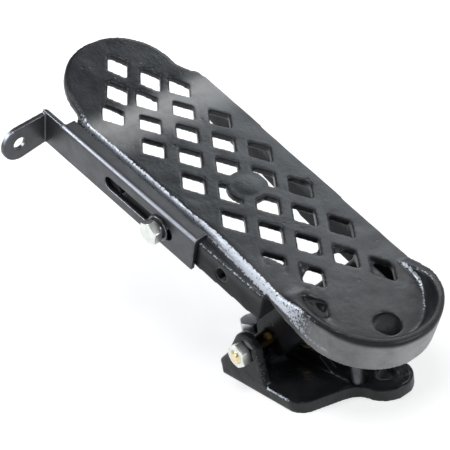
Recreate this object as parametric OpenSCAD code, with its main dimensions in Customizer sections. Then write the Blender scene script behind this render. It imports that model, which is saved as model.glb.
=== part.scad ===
// Presser-foot lift pedal of a sewing machine stand.
// A cast foot plate rocks on a pivot bolt between the ears of a cast base.
// Units: mm, +Z up, +X towards the heel, +Y towards the far side of the deck.
// The origin is the base's mounting hole, at the underside of the base.

/* [Deck] */
// Height of the deck's top face above the hinge line, square to the deck
deck_h = 58; // [52:0.5:66]
// Thickness of the pierced deck
deck_t = 5; // [4:0.5:7]
// Depth of the thicker edge all round the deck
edge_t = 6.5; // [5.5:0.5:9]
// Width of that thicker edge
edge_w = 4; // [3:0.5:6]
// Rise of the toe above the heel when nobody stands on the pedal, degrees
rest_tilt = 25; // [20:1:28]
// Distance of the toe's bend line from the hinge line
bend_reach = 154.5; // [150:0.5:160]
// Angle by which the toe turns up, degrees
toe_rise = 12; // [6:1:18]
// Radius of the toe's round end
toe_r = 39; // [34:0.5:42]
// Distance of the toe's centre from the bend line
toe_centre = 16; // [12:0.5:20]
// Sideways place of the toe's centre, towards the near side
toe_shift = 6; // [2:0.5:8]
// Far edge of the deck at the bend line
far_edge = 43.5; // [42:0.5:47]
// Near edge of the deck at the bend line
near_edge = 47; // [45.5:0.5:49]
// Near edge of the deck in front of the heel
near_waist = 39.5; // [38:0.5:40.5]
// Distance of that waist from the hinge line, towards the toe
waist_reach = 46; // [36:1:56]

/* [Openings] */
// Half the pitch of the diamond openings along the deck
pitch_l = 18.15; // [17:0.05:19]
// Half the pitch of the diamond openings across the deck
pitch_w = 12.65; // [11.6:0.05:13.2]
// Share of the pitch that is open
open_share = 0.6; // [0.5:0.01:0.64]
// Distance from the bend line to the row of openings counted as row 0
first_row = 38; // [36:0.5:40]
// Extra shift of the toe's own openings, towards the heel
toe_row_shift = 4.5; // [0:0.5:5]
// How far the rows bow sideways at the ends of the deck
row_bow = 4.7; // [0:0.1:6]
// Thickness of the wall under the deck's far edge
far_wall_t = 6; // [4.5:0.5:7]
// Depth of that wall below the deck's top face, at its toe end
far_wall_toe_h = 23; // [18:1:26]
// Its depth there above the hinge
far_wall_h = 33; // [26:1:36]
// Radius of the plain round disc amid the openings
boss_r = 12.5; // [9:0.5:13]
// Radius of the raised pad on that disc
boss_pad_r = 6; // [4:0.5:8]
// Height of that pad
boss_pad_h = 0.6; // [0.4:0.1:1.2]

/* [Heel cup] */
// Outer radius of the heel cup
heel_r = 41; // [39:0.5:44]
// Distance of the heel cup's centre behind the hinge line
heel_centre = 37.5; // [34:0.5:42]
// Height of the cup's rim above the deck
rim_h = 11; // [8:0.5:14]
// Thickness of the rim at its top
rim_w = 5; // [4:0.5:7]
// Depth of the cup's skirt below the deck's top face
skirt_h = 11; // [9:0.5:14]
// Radius by which the cup's inner wall leans in at the floor
rim_lean = 2.5; // [1:0.5:3.5]
// Width of the chamfers along the rim's top
rim_chamfer = 1.2; // [0.6:0.2:1.6]
// Diameter of the hole in the heel
heel_hole_d = 15; // [12:0.5:18]
// Distance of the heel hole behind the hinge line
heel_hole_x = 58; // [54:0.5:62]
// Sideways place of the heel hole, towards the near side
heel_hole_y = 3; // [0:0.5:6]
// Wall of the boss round the heel hole, under the deck
heel_boss_w = 3.5; // [2.5:0.5:5]
// Depth of that boss below the deck's top face
heel_boss_h = 17; // [12:1:20]

/* [Side bar] */
// Angle of the side bar to the deck's length, degrees
bar_angle = 4.25; // [2:0.25:4.5]
// Outer face of the side bar at its toe end
bar_edge = 55.6; // [54:0.2:58]
// Length of the side bar
bar_len = 169; // [160:1:172]
// Distance of the bar's toe end from the hinge line
bar_reach = 163.5; // [158:0.5:168]
// Width of the side bar
bar_w = 13; // [12:0.5:15]
// Depth of the bar's top face below the deck's top face
bar_drop = 6; // [5.5:0.5:7]
// Height of the bar's side face
bar_h = 19; // [17:0.5:22]
// Distance of the first threaded hole from the bar's toe end
bar_hole_start = 53.5; // [48:0.5:56]
// Distance from that hole to the one that takes the bracket bolt
bracket_hole_gap = 36; // [30:0.5:40]
// Distance from the bracket bolt to the free hole nearest the heel
free_hole_gap = 48; // [40:0.5:54]

/* [Lift bracket] */
// Thickness of the bracket's steel
steel_t = 3; // [2.5:0.5:4]
// Height of the upright flange
bracket_h = 24; // [22:0.5:28]
// Width of the top flange, over the fold
top_flange = 9.5; // [8:0.5:9.5]
// How far the bracket reaches past the bar's toe end
bracket_over = 19; // [12:1:26]
// Length of the top flange
flange_len = 118; // [110:1:118]
// Centre of the slot's toe end, from the bar's toe end
slot_start = 45.5; // [40:0.5:60]
// Distance between the centres of the slot's ends
slot_travel = 50; // [40:0.5:54]
// Height of the slot
slot_h = 9; // [8.5:0.1:10]
// Outer radius of the bracket's folds
fold_r = 2.8; // [1:0.2:3]
// Daylight on each side of the bracket where it slides
slide_fit = 0.1; // [0.05:0.05:0.2]
// Distance of the ear's hole from the upright flange
ear_reach = 19; // [14:0.5:24]
// Drop of the ear's hole below the middle of the upright flange
ear_drop = 3.5; // [0:0.5:5]
// Radius of the ear's round end
ear_r = 12; // [9:0.5:12]
// Diameter of the ear's hole
ear_hole_d = 8.5; // [7:0.5:10]

/* [Hinge] */
// Height of the hinge line above the underside of the base
hinge_h = 25.5; // [24:0.5:30]
// Radius of the pivot bolt's shank
pivot_r = 4; // [3:0.5:5]
// Radial running clearance on the shank
pivot_fit = 0.05; // [0.03:0.01:0.08]
// Width over the outer faces of the hinge arms
arms_w = 47; // [44:1:56]
// Thickness of each hinge arm
arm_t = 12; // [10:0.5:13]
// Thickness of the arms' webs, between that and the deck
arm_web_t = 6; // [4:0.5:8]
// Radius of the hinge arm's eye
eye_r = 13; // [12:0.5:14]
// Outer radius of the spacers between arms and ears
spacer_r = 5.5; // [5.5:0.1:6.5]
// End clearance between neighbouring parts on the pivot bolt
end_gap = 0.1; // [0.05:0.01:0.2]

/* [Base] */
// Width over the outer faces of the ears
ears_w = 87; // [80:1:90]
// Thickness of each ear
ear_t = 5; // [4:0.5:7]
// Radius of the ear's round top
ear_top_r = 10.5; // [9.5:0.5:12]
// Offset of that round top from the hinge line, towards the heel and up
ear_top_off = 2; // [0:0.5:3]
// Thickness of the base plate
plate_t = 7.5; // [6:0.5:9]
// Front edge of the base plate, from the hinge line
front_reach = 28; // [28:0.5:32]
// Straight part of the base plate's side, behind the hinge line
side_reach = 33; // [28:0.5:36]
// Radius of the base plate's rear corners
rear_r = 12.5; // [10:0.5:15]
// Distance of the mounting hole behind the hinge line
lobe_reach = 58.5; // [56:0.5:62]
// Sideways offset of the mounting lobe, towards the far side
lobe_side = 7.5; // [0:0.5:9]
// Radius of the mounting lobe
lobe_r = 16; // [14:0.5:18]
// Radius of the hollow where the lobe meets the plate
neck_r = 12; // [6:1:16]
// Diameter of the mounting hole
mount_d = 9; // [8.5:0.5:10.5]
// Height of the front web and its ribs above the base's underside
web_h = 16; // [13:0.5:17]
// Thickness of the front web at its top
web_t = 7; // [5:0.5:8]
// Thickness of the ribs behind the front web
rib_t = 5; // [4:0.5:6]
// Distance between the two ribs, centre to centre
rib_span = 16; // [14:0.5:16]

/* [Stops] */
// How far the toe goes down, degrees
pedal_travel = 15; // [10:1:15]
// Distance of the stop bolt in front of the hinge line
stop_x = 21; // [20:0.5:23]
// Sideways place of the stop bolt, towards the near side
stop_y = 20; // [18:0.5:21]
// Radius of the boss under the stop bolt
stop_boss_r = 7; // [6.5:0.5:7.5]
// Length of the stop bolt's shank below its head
stop_len = 20; // [17:1:21]
// Radius of the heel stop pin
pin_r = 3.9; // [3:0.1:4.5]
// Distance of the pin behind the hinge line
pin_x = 51.5; // [49:0.5:53]
// Sideways place of the pin, towards the near side
pin_y = 6.5; // [5:0.5:9]
// Height of the pin above the base plate
pin_h = 30; // [24:1:34]
// Depth to which the pin is set in the base plate
pin_set = 5; // [3:0.5:6]
// Radius of the pad under the heel that rests on the pin
pad_r = 8; // [6:0.5:9]

/* [Fasteners] */
// Radius of the shank of the bracket bolt and the stop bolt
bolt_r = 4; // [3:0.5:5]
// Width across flats of the bolt heads and nuts
hex_af = 13; // [10:0.5:14]
// Height of the bolt heads
head_h = 5.3; // [4:0.1:6]
// Height of the nuts
nut_h = 6.5; // [5:0.1:7]
// Outer radius of the flat washers
washer_r = 8; // [7.5:0.1:9]
// Thickness of the flat washers
washer_t = 1.6; // [1:0.1:2]
// Outer radius of the spring washers
spring_r = 6.8; // [6.4:0.1:7.4]
// Thickness of the spring washers
spring_t = 2; // [1.5:0.1:2.5]
// Radial clearance of bolts in threaded holes and washers
thread_fit = 0.05; // [0.03:0.01:0.1]

/* [Hidden] */

$fn = 64;
seat_gap = 0.3;            // daylight where a moving piece comes to rest
overlap = 1;               // how far fused shapes run into each other
hinge_x = -lobe_reach;     // the hinge line in the part's frame
hinge_y = -lobe_side;
black = [0.13, 0.13, 0.14];
steel = [0.18, 0.18, 0.20];
zinc = [0.82, 0.83, 0.84];
yellow = [0.85, 0.68, 0.32];

// The frame of the base, with its origin on the hinge line.
module hinge_frame() {
    translate([hinge_x, hinge_y, hinge_h]) children();
}

// The frame of the pedal, with its origin on the hinge line and X along the deck.
module pedal_frame() {
    hinge_frame() rotate([0, rest_tilt, 0]) children();
}

// The frame of the side bar: X along its outer face, Y inwards, Z from the deck's top.
module bar_frame() {
    pedal_frame() translate([-bar_reach, -bar_edge, deck_h])
        rotate([0, 0, bar_angle]) children();
}

// A cylinder that lies along Y, from y0 to y1.
module across(r, y0, y1) {
    translate([0, y0, 0]) rotate([-90, 0, 0]) cylinder(r = r, h = y1 - y0);
}

// A hexagonal prism on Z with chamfered corners, from z = 0 up.
module hex_prism(af, h) {
    corner_r = af / sqrt(3);
    chamfer = (corner_r - af / 2) * 0.8;
    intersection() {
        cylinder(r = corner_r, h = h, $fn = 6);
        rotate_extrude() polygon([[0, 0], [corner_r, 0], [corner_r, h - chamfer * 0.6],
            [corner_r - chamfer, h], [0, h]]);
    }
}

module ring(r_out, r_in, h) {
    difference() {
        cylinder(r = r_out, h = h);
        translate([0, 0, -overlap]) cylinder(r = r_in, h = h + 2 * overlap);
    }
}

// ---- deck ----

bend_lap = 1;              // how far deck and toe run into each other at the bend

// Plan of the flat deck and the heel, drawn in by inset all round.
module deck_plan(inset) {
    polygon([[-bend_reach - bend_lap, far_edge - inset], [heel_centre, heel_r - inset],
        [heel_centre, -(heel_r - inset)], [-waist_reach, -(near_waist - inset)],
        [-bend_reach - bend_lap, -(near_edge - inset)]]);
    translate([heel_centre, 0]) circle(r = heel_r - inset, $fn = 128);
}

// Plan of the turned-up toe, with X = 0 on the bend line. On the far side it widens
// to a shoulder just before the bend.
shoulder_start = 8;        // distances of the shoulder's start and end from the bend
shoulder_end = 5;
shoulder_in = 5;           // sideways step of the shoulder

module toe_plan(inset) {
    tip_r = toe_r - inset;
    far = far_edge - inset;
    difference() {
        translate([-toe_centre, -toe_shift]) circle(r = tip_r, $fn = 128);
        translate([bend_lap, -toe_r - toe_shift]) square([toe_r, 2 * toe_r]);
    }
    polygon([[-toe_centre, tip_r - toe_shift], [-shoulder_start, far - shoulder_in],
        [-shoulder_end, far - overlap], [bend_lap, far],
        [bend_lap, -(near_edge - inset)], [-toe_centre, -(tip_r + toe_shift)]]);
}

// Sideways place of a row: the rows bow towards the far side in mid-deck.
bow_mid = 3.2;
bow_reach = 5;
function row_shift(row) =
    row_bow * (0.36 - pow((max(row, first_col_row) - bow_mid) / bow_reach, 2));

// One diamond opening in the deck's plan, at a row and column of the lattice.
module diamond(row, col) {
    translate([row * pitch_l, col * pitch_w + row_shift(row)])
        polygon([[pitch_l * open_share, 0], [0, pitch_w * open_share],
            [-pitch_l * open_share, 0], [0, -pitch_w * open_share]]);
}

first_col_row = -2;        // the row that the bend line crosses
last_row = 8;
boss_row = 3;
edge_keep = 8.5;           // solid margin between the openings and the deck's edge
cup_keep = 15;             // the same, in the heel cup
// Plan of the solid patch over the near arm, which closes half an opening.
near_patch = [[-14, -26], [-4, -21.7], [5, -28], [-6, -34]];
// Columns that are open in a row. The rows alternate, and the last has no middle one.
function open_columns(row) = row == last_row ? [-2, 2]
    : row % 2 == 0 ? [-2, 0, 2] : [-1, 1];

module deck_openings() {
    difference() {
        intersection() {
            translate([first_row - bend_reach, 0])
                for (row = [first_col_row : last_row], col = open_columns(row))
                    diamond(row, col);
            deck_plan(edge_keep);
            hull() {
                translate([heel_centre, 0]) circle(r = heel_r - cup_keep);
                translate([-bend_reach - first_row, -near_edge])
                    square([bend_reach, 2 * near_edge]);
            }
        }
        translate([first_row - bend_reach + boss_row * pitch_l, row_shift(boss_row)])
            circle(r = boss_r);
        polygon(near_patch);
    }
}

// Openings of the toe, with X = 0 on the bend line.
module toe_openings() {
    intersection() {
        translate([first_row, 0]) {
            for (col = open_columns(first_col_row)) diamond(first_col_row, col);
            translate([toe_row_shift, 0]) {
                for (col = [-1, 1]) diamond(first_col_row - 1, col);
                diamond(first_col_row - 2, 0);
            }
        }
        toe_plan(edge_keep);
    }
}

// A plan of the deck turned into a plate with a thicker edge, top face at z = 0.
module deck_solid() {
    translate([0, 0, -deck_t]) linear_extrude(height = deck_t) difference() {
        deck_plan(0);
        deck_openings();
    }
    translate([0, 0, -edge_t]) linear_extrude(height = edge_t) difference() {
        deck_plan(0);
        deck_plan(edge_w);
        translate([heel_centre, -heel_r]) square([heel_r, 2 * heel_r]);
    }
    translate([first_row - bend_reach + boss_row * pitch_l, row_shift(boss_row), 0])
        translate([0, 0, -overlap]) cylinder(r = boss_pad_r, h = overlap + boss_pad_h);
}

// Side view of the wall that hangs under the deck's far edge.
far_wall_end = 6;          // length over which its toe end slopes down
hinge_bay = 30;            // reach of its deepest part, in front of the hinge line

module far_wall_view() {
    rotate([90, 0, 0]) mirror([0, 0, 1]) linear_extrude(height = far_edge + heel_r)
        polygon([[-bend_reach, -edge_t / 2], [-bend_reach + far_wall_end, -far_wall_toe_h],
            [-hinge_bay, -far_wall_h], [hinge_bay / 2, -far_wall_h],
            [heel_centre, -skirt_h], [heel_centre, -edge_t / 2]]);
}

module far_wall_solid() {
    intersection() {
        far_wall_view();
        translate([0, 0, -far_wall_h]) linear_extrude(height = far_wall_h) difference() {
            deck_plan(0);
            deck_plan(far_wall_t);
        }
    }
}

module toe_solid() {
    translate([-bend_reach, 0, 0]) rotate([0, toe_rise, 0]) {
        translate([0, 0, -deck_t]) linear_extrude(height = deck_t) difference() {
            toe_plan(0);
            toe_openings();
        }
        translate([0, 0, -edge_t]) linear_extrude(height = edge_t) difference() {
            toe_plan(0);
            toe_plan(edge_w);
        }
    }
}

// ---- heel cup ----

// Side view of the space that the cup's wall may fill: the rim rises from the deck
// and the skirt falls from the deck's edge.
rim_start = 18;            // where the rim begins to rise, behind the hinge line
rim_full = 58;             // where it has its full height
rim_skew = 14;             // degrees by which the near side rises sooner
skirt_start = -6;          // where the skirt begins to fall
skirt_full = 30;
cup_back = heel_centre + 2 * heel_r;

module cup_side_view() {
    rotate([90, 0, -rim_skew]) linear_extrude(height = 4 * heel_r, center = true)
        polygon([[skirt_start, -edge_t / 2], [rim_start, -overlap],
            [(rim_start + rim_full) / 2, rim_h * 0.62], [rim_full, rim_h],
            [cup_back, rim_h], [cup_back, -skirt_h], [skirt_full, -skirt_h]]);
}

module cup_solid() {
    wall_in = heel_r - rim_w;
    intersection() {
        cup_side_view();
        union() {
            translate([heel_centre, 0, 0]) rotate_extrude($fn = 128)
                polygon([[wall_in - rim_lean, 0], [wall_in, rim_h - rim_chamfer],
                    [wall_in + rim_chamfer, rim_h], [heel_r - rim_chamfer, rim_h],
                    [heel_r, rim_h - rim_chamfer], [heel_r, -skirt_h],
                    [wall_in, -skirt_h], [wall_in, -edge_t]]);
            translate([0, 0, -skirt_h]) linear_extrude(height = skirt_h + rim_h)
                difference() {
                    deck_plan(0);
                    deck_plan(rim_w);
                    translate([heel_centre, -heel_r]) square([heel_r, 2 * heel_r]);
                }
        }
    }
}

// ---- side bar ----

bolt_place = bar_hole_start + bracket_hole_gap;
bar_holes = [bar_hole_start, bolt_place, bolt_place + free_hole_gap];
bar_mid = -bar_drop - bar_h / 2;       // height of the threaded holes
bar_root_w = 5;                        // web that joins the bar to the deck's edge

module bar_solid() {
    difference() {
        union() {
            translate([0, 0, -bar_drop - bar_h]) cube([bar_len, bar_w, bar_h]);
            translate([0, bar_w - bar_root_w, -bar_drop - overlap])
                cube([bar_len, bar_root_w, bar_drop - deck_t / 2 + overlap]);
        }
        for (place = bar_holes)
            translate([place, -overlap, bar_mid]) rotate([-90, 0, 0])
                cylinder(r = bolt_r + thread_fit, h = bar_w + 2 * overlap);
    }
}

// ---- hinge arms ----

arm_out = arms_w / 2;
arm_front = stop_x + 9;    // front face of the near arm's nose, ahead of the stop bolt
arm_rear = 38;             // rear end of the arms' roots under the deck
near_root_front = -4;      // front ends of those roots; only the near arm has a nose
far_root_front = 12;
nose_base = 24;            // heights of the nose's front face above the hinge line
nose_top = 37;
nose_len = 14;             // length of the nose's contact face
tie_t = 6;                 // wall that ties the arms together under the deck
tie_h = 12;
tie_place = 22;

stack_h = nut_h + seat_gap + head_h;   // lock nut and head above the front web
head_top = web_h - hinge_h + stack_h;  // top of the stop bolt's head, from the hinge

// The arm's nose comes down on the stop bolt at the end of the travel, so its
// underside is that contact plane turned back to rest.
module nose_room() {
    rotate([0, -rest_tilt + pedal_travel, 0])
        translate([-stop_x - nose_len, -heel_r, head_top - deck_h])
            cube([stop_x + nose_len - eye_r, 2 * heel_r, deck_h + seat_gap]);
}

arm_root = deck_h - deck_t + overlap;

// Side view of an arm from its eye to the deck, with the points of its front edge.
module arm_view(front) {
    circle(r = eye_r);
    polygon(concat([[-eye_r, 0]], front, [[arm_rear, arm_root], [eye_r, 0]]));
}

// An arm has its full width up to the top of the nose, and a thinner web above.
module arm_solid(front) {
    rotate([90, 0, 0]) {
        linear_extrude(height = arm_web_t) arm_view(front);
        linear_extrude(height = arm_t) intersection() {
            arm_view(front);
            translate([-deck_h, -eye_r]) square([2 * deck_h, eye_r + nose_top]);
        }
    }
}

module hinge_arms() {
    difference() {
        translate([0, -arm_out, 0]) mirror([0, 1, 0]) arm_solid([[-arm_front, nose_base],
            [-arm_front, nose_top], [near_root_front, arm_root]]);
        nose_room();
    }
    translate([0, arm_out, 0]) arm_solid([[far_root_front, arm_root]]);
    translate([tie_place, -arm_out + overlap, deck_h - deck_t - tie_h])
        cube([tie_t, arms_w - 2 * overlap, tie_h + overlap]);
}

// The pad under the heel that rests on the stop pin, cut level with the base.
pin_top = plate_t + pin_h;
module heel_pad() {
    intersection() {
        translate([pin_x, -pin_y, pin_top + seat_gap - hinge_h])
            cylinder(r = pad_r, h = deck_h);
        rotate([0, rest_tilt, 0]) translate([-deck_h, -heel_r, 0])
            cube([3 * deck_h, 2 * heel_r, deck_h - deck_t / 2]);
    }
}

module foot_plate() {
    color(black) difference() {
        union() {
            pedal_frame() translate([0, 0, deck_h]) {
                deck_solid();
                far_wall_solid();
                toe_solid();
                cup_solid();
            }
            bar_frame() bar_solid();
            pedal_frame() hinge_arms();
            pedal_frame() translate([heel_hole_x, -heel_hole_y, deck_h - heel_boss_h])
                cylinder(d = heel_hole_d + 2 * heel_boss_w, h = heel_boss_h - deck_t / 2);
            hinge_frame() heel_pad();
        }
        pedal_frame() {
            across(pivot_r + pivot_fit, -heel_r, heel_r);
            translate([heel_hole_x, -heel_hole_y, deck_h - heel_boss_h - overlap])
                cylinder(d = heel_hole_d, h = heel_boss_h + rim_h + overlap);
        }
    }
}

// ---- lift bracket and its bolt ----

// Outline of the ear that is bent outwards, with X = 0 on its bend and Y upwards.
module ear_profile() {
    difference() {
        hull() {
            translate([-ear_reach, -ear_drop]) circle(r = ear_r);
            translate([-steel_t, -bracket_h / 2]) square([steel_t, bracket_h - 2]);
        }
        translate([-ear_reach, -ear_drop]) circle(d = ear_hole_d);
    }
}

// What rounds the outer corner of a fold. The corner is at the origin, and the
// quarter beyond it, towards +X and +Y, is the bracket's own.
module corner_waste() {
    difference() {
        translate([-overlap, -overlap]) square(fold_r + overlap);
        translate([fold_r, fold_r]) circle(r = fold_r);
    }
}

// The bracket's fold lies at the top outer edge of the bar, a sliding fit away.
module lift_bracket() {
    bend_y = steel_t;          // inner face of the upright flange
    color(steel) bar_frame() translate([0, -steel_t - slide_fit, slide_fit - bar_drop])
        difference() {
            union() {
                translate([-bracket_over, 0, steel_t - bracket_h])
                    cube([bracket_over + flange_len, steel_t, bracket_h]);
                cube([flange_len, top_flange, steel_t]);
                translate([-bracket_over, 0, steel_t - bracket_h / 2])
                    rotate([90, 0, 90]) linear_extrude(height = steel_t) ear_profile();
            }
            translate([-overlap, 0, steel_t]) rotate([90, 0, 90])
                linear_extrude(height = flange_len + 2 * overlap)
                    mirror([0, 1]) corner_waste();
            translate([-bracket_over, bend_y, -bracket_h]) mirror([0, 1])
                linear_extrude(height = 2 * bracket_h) corner_waste();
            translate([slot_start, steel_t + overlap, bar_mid + bar_drop - slide_fit])
                rotate([90, 0, 0]) linear_extrude(height = steel_t + 2 * overlap) {
                    circle(d = slot_h);
                    translate([slot_travel, 0]) circle(d = slot_h);
                    translate([0, -slot_h / 2]) square([slot_travel, slot_h]);
                }
        }
}

// The stack on the bracket bolt starts just clear of the bracket's outer face.
stack_base = steel_t + 2 * slide_fit;

module bracket_stack(height) {
    bar_frame() translate([bolt_place, -stack_base - height, bar_mid])
        rotate([90, 0, 0]) children();
}

end_inset = 1;             // how far a bolt's end stays inside its threaded hole

module bracket_flat_washer() {
    color(zinc) bracket_stack(0) ring(washer_r, bolt_r + thread_fit, washer_t);
}

module bracket_spring_washer() {
    color(zinc) bracket_stack(washer_t) ring(spring_r, bolt_r + thread_fit, spring_t);
}

module bracket_bolt() {
    color(zinc) bracket_stack(washer_t + spring_t) {
        hex_prism(hex_af, head_h);
        grip = washer_t + spring_t + stack_base + bar_w - end_inset;
        translate([0, 0, -grip]) cylinder(r = bolt_r, h = grip + overlap);
    }
}

// ---- base ----

module base_plan() {
    rear_y = ears_w / 2 - rear_r;
    offset(r = -neck_r) offset(r = neck_r) {
        hull() {
            translate([-front_reach, -ears_w / 2]) square([1, ears_w]);
            for (side = [-1, 1]) translate([side_reach, side * rear_y]) circle(r = rear_r);
            translate([lobe_reach - lobe_r * 0.6, lobe_side]) circle(r = lobe_r * 0.6);
        }
        translate([lobe_reach, lobe_side]) circle(r = lobe_r);
    }
}

module ear_side_view() {
    hull() {
        translate([ear_top_off, ear_top_off]) circle(r = ear_top_r);
        translate([-front_reach, -hinge_h]) square([1, plate_t / 2]);
        translate([side_reach * 0.42, -hinge_h]) square([1, plate_t]);
    }
}

// The front web leans with the ears' front edges.
module web_side_view() {
    web_back = web_t - front_reach + (web_h - plate_t) * 0.8;
    intersection() {
        ear_side_view();
        translate([-front_reach, -hinge_h]) square([front_reach + web_back, web_h]);
    }
}

// Two ribs run back from the front web, slope down and go on as low ridges.
rib_end = 26;              // where the ribs begin to slope down
ridge_end = 50;            // where the ridges end, beside the stop pin
ridge_h = 1.5;

module base_ribs() {
    root = plate_t - overlap - hinge_h;
    ridge = plate_t + ridge_h - hinge_h;
    for (side = [-1, 1]) translate([0, (side * rib_span + rib_t) / 2])
        rotate([90, 0, 0]) linear_extrude(height = rib_t)
            polygon([[web_t - front_reach, root], [0, web_h - hinge_h],
                [rib_end, web_h - hinge_h], [rib_end + web_h - plate_t, ridge],
                [ridge_end, ridge], [ridge_end, root]]);
}

module base_bracket() {
    color(black) hinge_frame() difference() {
        union() {
            translate([0, 0, -hinge_h]) linear_extrude(height = plate_t) base_plan();
            for (y = [ear_t - ears_w / 2, ears_w / 2]) translate([0, y, 0])
                rotate([90, 0, 0]) linear_extrude(height = ear_t) ear_side_view();
            translate([0, ears_w / 2 - overlap, 0]) rotate([90, 0, 0])
                linear_extrude(height = ears_w - 2 * overlap) web_side_view();
            translate([-stop_x, -stop_y, -hinge_h + plate_t - overlap])
                cylinder(r = stop_boss_r, h = web_h - plate_t + overlap);
            base_ribs();
        }
        across(pivot_r + pivot_fit, -ears_w, ears_w);
        translate([lobe_reach, lobe_side, -hinge_h - overlap])
            cylinder(d = mount_d, h = plate_t + 2 * overlap);
        translate([-stop_x, -stop_y, -hinge_h - overlap])
            cylinder(r = bolt_r + thread_fit, h = web_h + 2 * overlap);
        translate([pin_x, -pin_y, plate_t - pin_set - hinge_h])
            cylinder(r = pin_r + thread_fit, h = pin_set + ridge_h + overlap);
    }
}

// ---- pivot ----

ear_face = ears_w / 2;
bolt_proud = 1;            // how far the pivot bolt's end stands out of its nut

module pivot_bolt() {
    color(yellow) hinge_frame() {
        across(pivot_r, -ear_face - nut_h - bolt_proud, ear_face + washer_t + overlap);
        translate([0, ear_face + washer_t, 0]) rotate([-90, 0, 0]) hex_prism(hex_af, head_h);
    }
}

module pivot_washer() {
    color(yellow) hinge_frame() translate([0, ear_face, 0]) rotate([-90, 0, 0])
        ring(washer_r, pivot_r + thread_fit, washer_t);
}

module pivot_nut() {
    color(zinc) hinge_frame() translate([0, -ear_face, 0]) rotate([90, 0, 0])
        difference() {
            hex_prism(hex_af, nut_h);
            translate([0, 0, -overlap]) cylinder(r = pivot_r + thread_fit, h = nut_h + 2 * overlap);
        }
}

// A spacer tube between an arm and an ear, on the near side (-1) or the far side (1).
module pivot_spacer(side) {
    spacer_len = ear_face - ear_t - arm_out - 2 * end_gap;
    color(yellow) hinge_frame()
        translate([0, side * (arm_out + end_gap), 0]) rotate([-90 * side, 0, 0])
            ring(spacer_r, pivot_r + thread_fit, spacer_len);
}

module near_spacer() {
    pivot_spacer(-1);
}

module far_spacer() {
    pivot_spacer(1);
}

// ---- stops ----

module stop_frame(height) {
    translate([hinge_x - stop_x, hinge_y - stop_y, web_h + height]) children();
}

module stop_lock_nut() {
    color(zinc) stop_frame(0) difference() {
        hex_prism(hex_af, nut_h);
        translate([0, 0, -overlap]) cylinder(r = bolt_r + thread_fit, h = nut_h + 2 * overlap);
    }
}

module stop_bolt() {
    color(zinc) stop_frame(nut_h + seat_gap) {
        hex_prism(hex_af, head_h);
        translate([0, 0, -stop_len]) cylinder(r = bolt_r, h = stop_len + overlap);
    }
}

module heel_stop_pin() {
    color(steel) translate([hinge_x + pin_x, hinge_y - pin_y, plate_t - pin_set])
        cylinder(r = pin_r, h = pin_set + pin_h);
}

foot_plate();
lift_bracket();
bracket_bolt();
bracket_spring_washer();
bracket_flat_washer();
base_bracket();
pivot_bolt();
pivot_nut();
pivot_washer();
near_spacer();
far_spacer();
stop_bolt();
stop_lock_nut();
heel_stop_pin();
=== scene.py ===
from math import copysign, cos, floor, hypot, pi, radians, sin, tan

import bmesh
import bpy
from mathutils import Matrix, Vector, kdtree, noise


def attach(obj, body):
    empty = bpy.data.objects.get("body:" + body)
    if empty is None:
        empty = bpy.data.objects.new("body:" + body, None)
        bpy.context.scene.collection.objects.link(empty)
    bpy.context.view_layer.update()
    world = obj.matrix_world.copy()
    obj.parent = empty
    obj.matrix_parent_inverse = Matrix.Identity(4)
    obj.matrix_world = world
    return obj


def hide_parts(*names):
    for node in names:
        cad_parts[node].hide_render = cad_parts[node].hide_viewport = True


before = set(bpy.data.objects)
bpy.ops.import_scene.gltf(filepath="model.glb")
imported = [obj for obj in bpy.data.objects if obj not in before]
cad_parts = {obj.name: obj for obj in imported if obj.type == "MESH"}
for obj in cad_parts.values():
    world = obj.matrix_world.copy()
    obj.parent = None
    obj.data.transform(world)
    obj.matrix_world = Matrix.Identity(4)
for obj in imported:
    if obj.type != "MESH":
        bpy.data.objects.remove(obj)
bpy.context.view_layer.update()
mm = 0.001

# where the pieces live: the deck leans back on its pivot, and the side bar runs along it
deckLean = 25       # degrees
barTurn = 4.25      # degrees
pivotPlace = (-0.0585, -0.0075, 0.0255)
barStart = (-0.1635, -0.0556, 0.058)    # in the deck's own frame
hinge = Matrix.Translation((pivotPlace[0], 0, pivotPlace[2]))
pedalPlace = Matrix.Translation(pivotPlace) @ Matrix.Rotation(radians(deckLean), 4, "Y")
barPlace = pedalPlace @ Matrix.Translation(barStart) @ Matrix.Rotation(radians(barTurn), 4, "Z")
outward = Matrix.Rotation(radians(90), 4, "X")    # local +Z towards -Y
inward = Matrix.Rotation(radians(-90), 4, "X")    # local +Z towards +Y


def shift(x, y, z):
    # a step of x, y and z mm
    return Matrix.Translation((x * mm, y * mm, z * mm))


def newGroup(name, inputs, outputs):
    group = bpy.data.node_groups.new(name, "ShaderNodeTree")
    for label, kind, value in inputs:
        socket = group.interface.new_socket(label, in_out="INPUT", socket_type=kind)
        if value is not None:
            socket.default_value = value
    for label, kind in outputs:
        group.interface.new_socket(label, in_out="OUTPUT", socket_type=kind)
    return group, group.nodes.new("NodeGroupInput"), group.nodes.new("NodeGroupOutput")


def add(tree, kind, **settings):
    node = tree.nodes.new(kind)
    for key, value in settings.items():
        setattr(node, key, value)
    return node


def join(tree, source, target):
    tree.links.new(source, target)


def maths(tree, operation, a, b=None, c=None, clamp=False):
    node = add(tree, "ShaderNodeMath", operation=operation, use_clamp=clamp)
    for index, value in enumerate((a, b, c)):
        if value is None:
            continue
        if isinstance(value, (int, float)):
            node.inputs[index].default_value = value
        else:
            join(tree, value, node.inputs[index])
    return node.outputs[0]


def remap(tree, value, low, high, toLow=0.0, toHigh=1.0):
    node = add(tree, "ShaderNodeMapRange", clamp=True)
    join(tree, value, node.inputs["Value"])
    for label, number in (("From Min", low), ("From Max", high), ("To Min", toLow), ("To Max", toHigh)):
        if isinstance(number, (int, float)):
            node.inputs[label].default_value = number
        else:
            join(tree, number, node.inputs[label])
    return node.outputs["Result"]


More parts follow.
